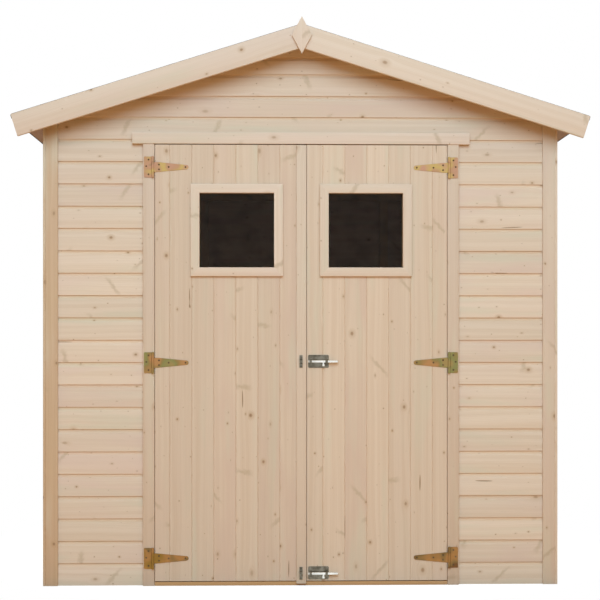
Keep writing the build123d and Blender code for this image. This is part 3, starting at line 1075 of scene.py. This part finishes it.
@dataclass
class Timbers(Assembly):
    """Trim on the outside and framing inside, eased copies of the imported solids."""

    groups: tuple[tuple[Finish, tuple[str, ...]], ...] = (
        (Finish.CORNER, ("gable_corner_boards", "side_corner_boards")),
        (Finish.JAMB, ("door_jambs",)),
        (Finish.TRIM, ("door_header", "left_barge_boards", "right_barge_boards", "gable_diamonds")),
        (Finish.FRAME, ("back_rail", "cross_beams", "door_sill", "floor_bearers", "rafters", "ridge_beam",
                        "side_plates", "side_rails", "wall_posts", "wall_studs")),
    )
    nosing_reach: float = 0.577
    nosing_face: float = -1.018
    nosing_depth: float = 0.029
    nosing_height: float = 0.0155

    def build(self) -> None:
        """Make every trim board and framing timber, and the nosing of the sill under the doors."""
        for finish, nodes in self.groups:
            others = [(lambda middle: middle.x > 0, Finish.STRIP)] if finish is Finish.CORNER else ()
            for node in nodes:
                piece = self.joiner.ease(f"{node}_eased", node)
                self.palette.dress(piece, finish, "shed", node, others=others)
        size = (2 * self.nosing_reach, self.nosing_depth, self.nosing_height)
        place = lay((-self.nosing_reach, self.nosing_face, 0), (1, 0, 0), (0, 1, 0))
        self.put_up("sill_nosing", [self.joiner.board(place, size, Edge.EASED)], Finish.SILL, "shed")


@dataclass
class Floor(Assembly):
    """Floor boards across the bearers."""

    count: int = 16
    gap: float = 0.001

    def build(self) -> None:
        """Lay the boards from front to back."""
        low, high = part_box("floor_deck")
        pitch = (high[0] - low[0]) / self.count
        size = (high[1] - low[1], high[2] - low[2], pitch - self.gap)
        boards = []
        for step in range(1, self.count + 1):
            place = lay((low[0] + step * pitch, low[1], high[2]), (0, 1, 0), (0, 0, -1))
            boards.append(self.joiner.board(place, size, Edge.MATCHED))
        self.put_up("floor_boards", boards, Finish.FRAME, "shed", "floor_deck")


@dataclass
class DoorLeaf(Assembly):
    """One boarded leaf with its window, ledges and brace."""

    side: Side
    first_joint: float = 0.085
    board_pitch: float = 0.0865
    joint_count: int = 6
    sight: float = 0.293
    trim_width: float = 0.035
    hinge_growth: float = 0.0035
    meeting_growth: float = 0.0025
    top_growth: float = 0.0035
    strip_edge: float = 0.0025

    def joints(self) -> list[float]:
        """Share out the width of the leaf.

        Returns:
            The edges of the upright boards from left to right.
        """
        low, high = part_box(f"{self.side.word}_door_boards")
        inner = [self.first_joint + step * self.board_pitch for step in range(self.joint_count)]
        if self.side is Side.LEFT:
            return [low[0] - self.hinge_growth, *(-joint for joint in reversed(inner)), high[0]]
        return [low[0] - self.meeting_growth, *inner, high[0] + self.hinge_growth]

    def build(self) -> None:
        """Board the leaf and add its window trim, ledges and brace."""
        side, body = self.side.word, f"{self.side.word}_door"
        low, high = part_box(f"{side}_door_boards")
        pane_low, pane_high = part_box(f"{side}_window_pane")
        middle = ((pane_low[0] + pane_high[0]) / 2, (pane_low[2] + pane_high[2]) / 2)
        half = self.sight / 2
        hole = ((middle[0] - half, low[1] - 1, middle[1] - half),
                (middle[0] + half, high[1] + 1, middle[1] + half))
        boards = []
        edges = self.joints()
        for left, right in zip(edges, edges[1:]):
            crosses = right > hole[0][0] and left < hole[1][0]
            size = (high[2] - low[2] + self.top_growth, high[1] - low[1], right - left)
            place = lay((right, low[1], low[2]), (0, 0, 1), (0, 1, 0))
            boards.append(self.joiner.board(place, size, Edge.MATCHED, hole=hole if crosses else None))
        self.put_up(f"{body}_planks", boards, Finish.DOOR, body, f"{side}_door_boards")
        for name, finish in (("window_frame", Finish.TRIM), ("window_inner_trim", Finish.DOOR)):
            self.window_trim(f"{side}_{name}", middle, finish)
        for node in (f"{side}_door_ledges", f"{side}_door_brace"):
            self.palette.dress(self.joiner.ease(f"{node}_eased", node), Finish.DOOR, body, node)
        if self.side is Side.LEFT:
            strip = self.joiner.ease("cover_strip", "door_cover_strip", self.strip_edge)
            for vertex in strip.data.vertices:
                vertex.co.x += self.meeting_growth * (vertex.co.x > 0)
            self.palette.dress(strip, Finish.STRIP, body, "door_cover_strip")
        self.palette.paint(f"{side}_window_pane", Finish.PANE)

    def window_trim(self, node: str, middle: tuple[float, float], finish: Finish) -> None:
        """Mitre four boards round the window, in place of one packed ring.

        Args:
            node: Packed ring on the front or the back of the leaf.
            middle: Middle of the window, across and up.
            finish: Finish of the boards.
        """
        low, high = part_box(node)
        half = (high[0] - low[0]) / 2
        size = (2 * half, high[1] - low[1], self.trim_width)
        inner = half - self.trim_width
        boards = []
        for turn in range(4):
            angle = turn * math.pi / 2
            across, up = math.cos(angle), math.sin(angle)
            start = (middle[0] - half * across - inner * up, low[1], middle[1] - half * up + inner * across)
            cuts = []
            for end in (-1, 1):
                corner = (middle[0] + end * half * across - half * up, 0,
                          middle[1] + end * half * up + half * across)
                cuts.append((corner, (end * across + up, 0, end * up - across)))
            boards.append(self.joiner.board(lay(start, (across, 0, up), (0, 1, 0)), size, Edge.EASED, cuts))
        self.put_up(f"{node}_mitred", boards, finish, f"{self.side.word}_door", node)


@dataclass
class Roof(Assembly):
    """Roof boards and felt in lapped courses."""

    half: float = 1.123
    deck: float = 0.016
    board_count: int = 12
    felt: float = 0.0018
    verge: float = 1.1025
    flat_verge: float = 0.06
    laps: tuple[tuple[float, float, float], ...] = ((-0.016, 0.62, 0.0), (0.54, 1.1775, 0.0014))
    cap_reach: float = 0.16
    settling: float = 0.14
    looseness: float = 0.0004
    clout_inset: float = 0.022
    clout_reach: float = 1.05
    clout_pitch: float = 0.075
    verge_pitch: float = 0.1
    verge_ends: Hole = (0.1, 0.07)
    grid: tuple[int, int] = (72, 48)
    crowding: float = 1.4
    sheet_share: float = 0.85

    def build(self) -> None:
        """Board and felt both slopes."""
        for side in Side:
            self.put_up(f"{side.word}_roof_boards", self.boards(side.value), Finish.DECK, "shed",
                        f"{side.word}_roof_deck")
            sheets = [self.sheet(side.value, *course) for course in self.courses()]
            self.put_up(f"{side.word}_felt_courses", sheets, Finish.FELT, "shed", f"{side.word}_roof_felt")

    def length(self) -> float:
        """Give the length of a slope."""
        return self.half / math.cos(PITCH)

    def axes(self, sign: int) -> tuple[Vector, Vector, Vector]:
        """Find how a slope lies.

        Args:
            sign: Minus one for the left slope, one for the right.

        Returns:
            Its upper eave corner, the way up it and the way out of it.
        """
        eave = Vector((sign * self.half, 0, RIDGE - self.half * math.tan(PITCH)))
        up = Vector((-sign * math.cos(PITCH), 0, math.sin(PITCH)))
        out = Vector((sign * math.sin(PITCH), 0, math.cos(PITCH)))
        return eave, up, out

    def boards(self, sign: int) -> list[Piece]:
        """Lay the boards of one slope, chamfered side down.

        Args:
            sign: Minus one for the left slope, one for the right.

        Returns:
            The boards from the eave up.
        """
        low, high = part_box("left_roof_deck")
        eave, up, out = self.axes(sign)
        width = self.length() / self.board_count
        size = (high[1] - low[1], self.deck, width)
        along = Vector((0, -sign, 0))
        ridge = [((0, 0, 0), (-sign, 0, 0))]
        boards = []
        for step in range(self.board_count + 1):
            start = eave - out * self.deck + up * width * step - along * size[0] / 2
            if start.x * sign > 0.001:
                boards.append(self.joiner.board(lay(start, along, out), size, Edge.MATCHED, ridge))
        return boards

    def spot(self, sign: int, reach: float, across: float, start: float, lift: float) -> Vector:
        """Find a point on the top of a course of felt.

        Args:
            sign: Minus one for the left slope, one for the right.
            reach: Distance up the slope from the eave, less than zero on the fold below it.
            across: Place along the eave.
            start: Lower edge of the course, measured like reach.
            lift: Height of that edge over the first course.

        Returns:
            The point, a little up or down where the felt lies in soft waves.
        """
        eave, up, out = self.axes(sign)
        wave = math.sin(across * 7.1 + start * 9) * math.sin(across * 2.3 + reach * 5.0 + sign)
        settle = max(0.0, 1 - (reach - start) / self.settling)
        loose = self.looseness * (1 + wave) * min(1.0, max(0.0, reach) * 8) + lift * (0.25 + 0.75 * settle)
        height = self.felt + loose * min(1.0, (self.verge - abs(across)) / self.flat_verge)
        if reach >= 0:
            return eave + up * reach + out * height + Vector((0, across, 0))
        return eave - up * height + out * (reach + height) + Vector((0, across, 0))

    def courses(self) -> list[tuple[float, float, float]]:
        """Give the lower edge, upper edge and lift of each course, the ridge strip last."""
        return [*self.laps, (self.length() - self.cap_reach, self.length(), self.felt)]

    def clouts(self, sign: int) -> list[Cut]:
        """Set out the clout nails of one slope along laps and verges.

        Args:
            sign: Minus one for the left slope, one for the right.

        Returns:
            The place and direction of each.
        """
        out = tuple(self.axes(sign)[2])
        edge = self.verge - self.clout_inset
        found = []
        for start, stop, lift in self.courses():
            first = max(start, 0)
            level = self.steps(-self.clout_reach, self.clout_reach, self.clout_pitch)
            rows = [(first + self.clout_inset, across) for across in level]
            rising = self.steps(first + self.verge_ends[0], stop - self.verge_ends[1], self.verge_pitch)
            rows += [(reach, across) for reach in rising for across in (-edge, edge)]
            found += [(tuple(self.spot(sign, reach, across, start, lift)), out) for reach, across in rows]
        return found

    @staticmethod
    def steps(first: float, last: float, pitch: float) -> list[float]:
        """Give places from first to last at about a pitch."""
        count = max(1, round((last - first) / pitch))
        return [first + (last - first) * step / count for step in range(count + 1)]

    def sheet(self, sign: int, start: float, stop: float, lift: float) -> Piece:
        """Roll out one course of felt.

        Args:
            sign: Minus one for the left slope, one for the right.
            start: Lower edge, measured up the slope from the eave.
            stop: Upper edge.
            lift: Height of the lower edge over the first course.

        Returns:
            The sheet, with its thickness.
        """
        bpy.ops.object.select_all(action="DESELECT")
        columns, rows = self.grid
        bpy.ops.mesh.primitive_grid_add(x_subdivisions=columns, y_subdivisions=rows, size=1, calc_uvs=False)
        piece = bpy.context.object
        for vertex in piece.data.vertices:
            reach = start + (stop - start) * (vertex.co.y + 0.5) ** self.crowding
            vertex.co = self.spot(sign, reach, vertex.co.x * 2 * self.verge, start, lift)
        if sign > 0:
            piece.data.flip_normals()
        self.joiner.modify(piece, "SOLIDIFY", thickness=self.felt * self.sheet_share, offset=-1)
        self.joiner.saw(piece, Vector((0, 0, 0)), Vector((-sign, 0, 0)))
        return piece


@dataclass
class Fixings(Assembly):
    """Screws of the hinges and bolts, clout nails of the felt and nails of the walls."""

    screw: Head = (0.0036, 0.0012, 12)
    small_screw: Head = (0.0028, 0.001, 12)
    nail: Head = (0.0024, 0.0006, 10)
    clout: Head = (0.0042, 0.0009, 12)
    rounding: float = 0.5
    drive_inset: float = 0.35
    drive_depth: float = 0.6
    hinge_heights: tuple[float, ...] = (0.109, 0.878, 1.647)
    bolt_heights: tuple[float, ...] = (0.050, 0.883)
    pin: float = 0.5835
    hinge_face: float = -1.0235
    bolt_face: float = -1.023
    keeper_face: float = -1.032
    plate_holes: tuple[Hole, ...] = ((0.017, 0.029), (0.026, 0.003), (0.017, -0.029))
    strap_holes: tuple[Hole, ...] = (
        (-0.024, 0.0095), (-0.024, -0.0095), (-0.062, 0.0), (-0.128, 0.0))
    bolt_holes: tuple[Hole, ...] = (
        (0.048, -0.0195), (0.048, 0.0195), (0.087, -0.0195), (0.087, 0.0195))
    keeper_holes: tuple[Hole, ...] = ((-0.0015, -0.017), (-0.0015, 0.017))
    studs: tuple[float, ...] = (-0.48325, 0.0, 0.48325)
    nail_rises: tuple[float, ...] = (0.02, 0.066)
    foot_margin: float = 0.01
    head_margin: float = 0.02

    def head(self, radius: float, height: float, sides: int) -> Mesh:
        """Model one head on the origin that faces up, with a drive pressed into it.

        Args:
            radius: Radius of the head.
            height: Height of the head.
            sides: Number of sides.

        Returns:
            The mesh.
        """
        bpy.ops.object.select_all(action="DESELECT")
        bpy.ops.mesh.primitive_cylinder_add(vertices=sides, radius=radius, depth=height, calc_uvs=False,
                                            location=(0, 0, height / 2))
        bpy.ops.object.transform_apply(location=True, rotation=True, scale=True)
        piece = bpy.context.object
        self.joiner.bevel(piece, lambda a, b: min(a.z, b.z) > height - TOUCH, height * self.rounding, 2)
        for face in piece.data.polygons:
            face.select = face.normal.z > 0.99
        bpy.context.tool_settings.mesh_select_mode = (False, False, True)
        with editing():
            bpy.ops.mesh.inset(thickness=radius * self.drive_inset)
            press = {"value": (0, 0, -height * self.drive_depth)}
            bpy.ops.mesh.extrude_region_move(TRANSFORM_OT_translate=press)
        mesh = piece.data.copy()
        bpy.data.objects.remove(piece)
        return mesh

    def drive(self, name: str, head: Mesh, spots: Iterable[Cut], finish: Finish, body: str) -> None:
        """Put copies of a head at places, each facing out of its surface, as one piece.

        Args:
            name: Name of the piece.
            head: Mesh of the head.
            spots: Place and outward direction of each.
            finish: Finish of the heads.
            body: Body they move with.
        """
        copies = []
        for place, outward in spots:
            turn = Vector(outward).to_track_quat("Z", "Y").to_matrix().to_4x4()
            mesh = head.copy()
            mesh.transform(Matrix.Translation(place) @ turn)
            copies.append(link(name, mesh))
        self.put_up(name, copies, finish, body)

    @staticmethod
    def repeat(holes: Sequence[Hole], heights: Sequence[float], face: float) -> list[Cut]:
        """Repeat holes at several heights of a front face, each with its place and direction."""
        return [((across, face, height + rise), (0, -1, 0)) for height in heights for across, rise in holes]

    def build(self) -> None:
        """Drive every screw and nail."""
        screw = self.head(*self.screw)
        for side in Side:
            for name, holes, body in (("plate", self.plate_holes, "shed"),
                                      ("strap", self.strap_holes, f"{side.word}_door")):
                placed = [(side.value * (self.pin + reach), rise) for reach, rise in holes]
                spots = self.repeat(placed, self.hinge_heights, self.hinge_face)
                self.drive(f"{side.word}_{name}_screws", screw, spots, Finish.SCREW, body)
        small = self.head(*self.small_screw)
        spots = self.repeat(self.bolt_holes, self.bolt_heights, self.bolt_face)
        self.drive("bolt_screws", small, spots, Finish.PLATE, "right_door")
        spots = self.repeat(self.keeper_holes, self.bolt_heights, self.keeper_face)
        self.drive("keeper_screws", small, spots, Finish.PLATE, "left_door")
        self.drive_nails()

    def drive_nails(self) -> None:
        """Nail the closed walls to their studs and the felt to the roof boards."""
        walls = Walls(self.joiner, self.palette)
        nail = self.head(*self.nail)
        for name, outward in (("left", (-1, 0, 0)), ("right", (1, 0, 0)), ("back", (0, 1, 0))):
            low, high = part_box(f"{name}_wall")
            spots = []
            for height in walls.heights(high[2]):
                for stud in self.studs:
                    top = high[2] if outward[0] else UNDER_RIDGE - abs(stud) * math.tan(PITCH)
                    spot = (outward[0] * walls.face, stud) if outward[0] else (stud, walls.face)
                    for level in (height + rise for rise in self.nail_rises):
                        if low[2] + self.foot_margin < level < top - self.head_margin:
                            spots.append(((*spot, level), outward))
            self.drive(f"{name}_wall_nails", nail, spots, Finish.NAIL, "shed")
        clout = self.head(*self.clout)
        roof = Roof(self.joiner, self.palette)
        for side in Side:
            self.drive(f"{side.word}_felt_clouts", clout, roof.clouts(side.value), Finish.NAIL, "shed")


@dataclass
class Hardware(Assembly):
    """Hinges and bolts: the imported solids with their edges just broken."""

    edge: float = 0.0004
    upper: float = 1.3
    lower: float = 0.5

    def build(self) -> None:
        """Break the edges of each solid and plate it."""
        parts = [("bolt_plates", Finish.PLATE, "right_door"), ("bolt_keepers", Finish.PLATE, "left_door"),
                 ("middle_bolt_rod", Finish.ROD, "middle_bolt"), ("lower_bolt_rod", Finish.ROD, "lower_bolt")]
        for side in Side:
            parts.append((f"{side.word}_hinge_plates", Finish.OLIVE_ZINC, "shed"))
            parts.append((f"{side.word}_hinge_straps", Finish.OLIVE_ZINC, f"{side.word}_door"))
        # Upper hinges take the paler zinc and lower ones the darker zinc: painted light and shade by height,
        # laid over the real passivation colours.
        heights = [(lambda middle: middle.z > self.upper, Finish.ROSY_ZINC),
                   (lambda middle: middle.z < self.lower, Finish.BROWN_ZINC)]
        for node, finish, body in parts:
            piece = self.joiner.ease(f"{node}_plated", node, self.edge)
            others = heights if finish is Finish.OLIVE_ZINC else ()
            self.palette.dress(piece, finish, body, node, others=others)


@dataclass(frozen=True)
class Lamp:
    """One square soft lamp that metal and panes don't mirror."""

    name: str
    place: Point
    target: Point
    power: float
    tint: Point
    size: float = 4.5

    def hang(self) -> None:
        """Hang the lamp, turned to its target."""
        data = bpy.data.lights.new(self.name, "AREA")
        data.size, data.energy, data.color = self.size, self.power, self.tint
        lamp = bpy.data.objects.new(self.name, data)
        lamp.visible_glossy = False
        lamp.location = self.place
        lamp.rotation_euler = (Vector(self.target) - Vector(self.place)).to_track_quat("-Z", "Y").to_euler()
        bpy.context.scene.collection.objects.link(lamp)


@dataclass
class Studio:
    """Camera, lamps, pale floor and white surround."""

    eye: Point = (-0.107, -6.366, 0.988)
    yaw: float = 1.297
    focus: float = 1356.9
    centre: tuple[float, float] = (304.9, 334.7)
    picture: float = 600.0
    sensor: float = 36.0
    fill: float = 0.5
    warm: tuple[float, ...] = (1.0, 0.74, 0.44, 1.0)
    white: tuple[float, ...] = (1.0, 1.0, 1.0, 1.0)
    pale: tuple[float, ...] = (0.9, 0.9, 0.9, 1.0)
    glow: float = 0.45
    floor_size: float = 80.0
    shadow_reach: tuple[float, float] = (1.05, 1.5)
    front_bounce: tuple[float, ...] = (0.74, 0.42, 0.18, 1.0)
    back_bounce: tuple[float, ...] = (0.1, 0.075, 0.05, 1.0)
    bounce_change: tuple[float, float] = (-1.2, -0.85)
    lamps: tuple[Lamp, ...] = (
        Lamp("key", (0.0, -7.2, 4.65), (0.0, -1.0, 1.15), 478.0, (0.5, 0.765, 1.01)),
        Lamp("left", (-7.0, 3.0, 4.6), (-1.0, 0.6, 1.1), 300.0, (0.72, 0.82, 1.0)),
        Lamp("right", (7.0, 3.0, 4.6), (1.0, 0.6, 1.1), 300.0, (0.72, 0.82, 1.0)),
        Lamp("back", (0.0, 7.4, 4.0), (0.0, 1.0, 1.15), 225.0, (0.95, 0.88, 0.84)),
    )

    def build(self) -> None:
        """Set up the view and the light."""
        scene = bpy.context.scene
        scene.view_settings.view_transform = "Standard"
        data = bpy.data.cameras.new("camera")
        data.sensor_width = self.sensor
        data.lens = self.focus / self.picture * self.sensor
        data.shift_x = (self.picture / 2 - self.centre[0]) / self.picture
        data.shift_y = (self.centre[1] - self.picture / 2) / self.picture
        camera = bpy.data.objects.new("camera", data)
        camera.location = self.eye
        camera.rotation_euler = (math.pi / 2, 0, -math.radians(self.yaw))
        scene.collection.objects.link(camera)
        scene.camera = camera
        for lamp in self.lamps:
            lamp.hang()
        self.surround(scene)
        self.ground()

    def surround(self, scene: bpy.types.Scene) -> None:
        """Light the scene evenly, and show white to the camera, metal and panes.

        Args:
            scene: Scene that gets the surround.
        """
        scene.world = bpy.data.worlds.new("surround")
        scene.world.use_nodes = True
        graph = Graph(scene.world.node_tree)
        seen = graph.seen()
        strength = graph.line(seen, 1 - self.fill, self.fill)
        sky = graph.node("Background", {0: graph.mix(seen, self.warm, self.white), 1: strength})
        graph.node("OutputWorld", {"Surface": sky.outputs[0]})

    def ground(self) -> None:
        """Lay the floor: it shows white with the shed's shadow, and throws warm light back in front only."""
        bpy.ops.object.select_all(action="DESELECT")
        bpy.ops.mesh.primitive_plane_add(size=self.floor_size)
        floor = bpy.context.object
        floor.name = "ground"
        material = bpy.data.materials.new("pale_ground")
        material.use_nodes = True
        graph = Graph(material.node_tree)
        place = graph.coordinates()
        far = graph.node("VectorMath", {0: place}, operation="LENGTH").outputs["Value"]
        white = graph.node("Emission", {"Color": self.white, "Strength": 1.0}).outputs[0]
        lit = graph.node("BsdfDiffuse", {"Color": self.pale}).outputs[0]
        glow = graph.node("Emission", {"Color": self.white, "Strength": self.glow}).outputs[0]
        near = graph.node("AddShader", {0: lit, 1: glow}).outputs[0]
        distant = graph.step(far, *self.shadow_reach)
        shown = graph.node("MixShader", {0: distant, 1: near, 2: white}).outputs[0]
        behind = graph.step(graph.split(place)[1], *self.bounce_change)
        thrown = graph.mix(behind, self.front_bounce, self.back_bounce)
        dim = graph.node("BsdfDiffuse", {"Color": thrown}).outputs[0]
        surface = graph.node("MixShader", {0: graph.seen(), 1: dim, 2: shown}).outputs[0]
        graph.node("OutputMaterial", {"Surface": surface})
        floor.data.materials.append(material)


def main() -> None:
    """Build the shed piece by piece."""
    logging.basicConfig(level=logging.INFO, format="%(name)s: %(message)s")
    palette = Palette()
    joiner = Joiner(seed=7)
    Walls(joiner, palette).build()
    Timbers(joiner, palette).build()
    Floor(joiner, palette).build()
    for side in Side:
        DoorLeaf(joiner, palette, side).build()
    Roof(joiner, palette).build()
    Hardware(joiner, palette).build()
    Fixings(joiner, palette).build()
    Studio().build()


if __name__ == "__main__":
    main()
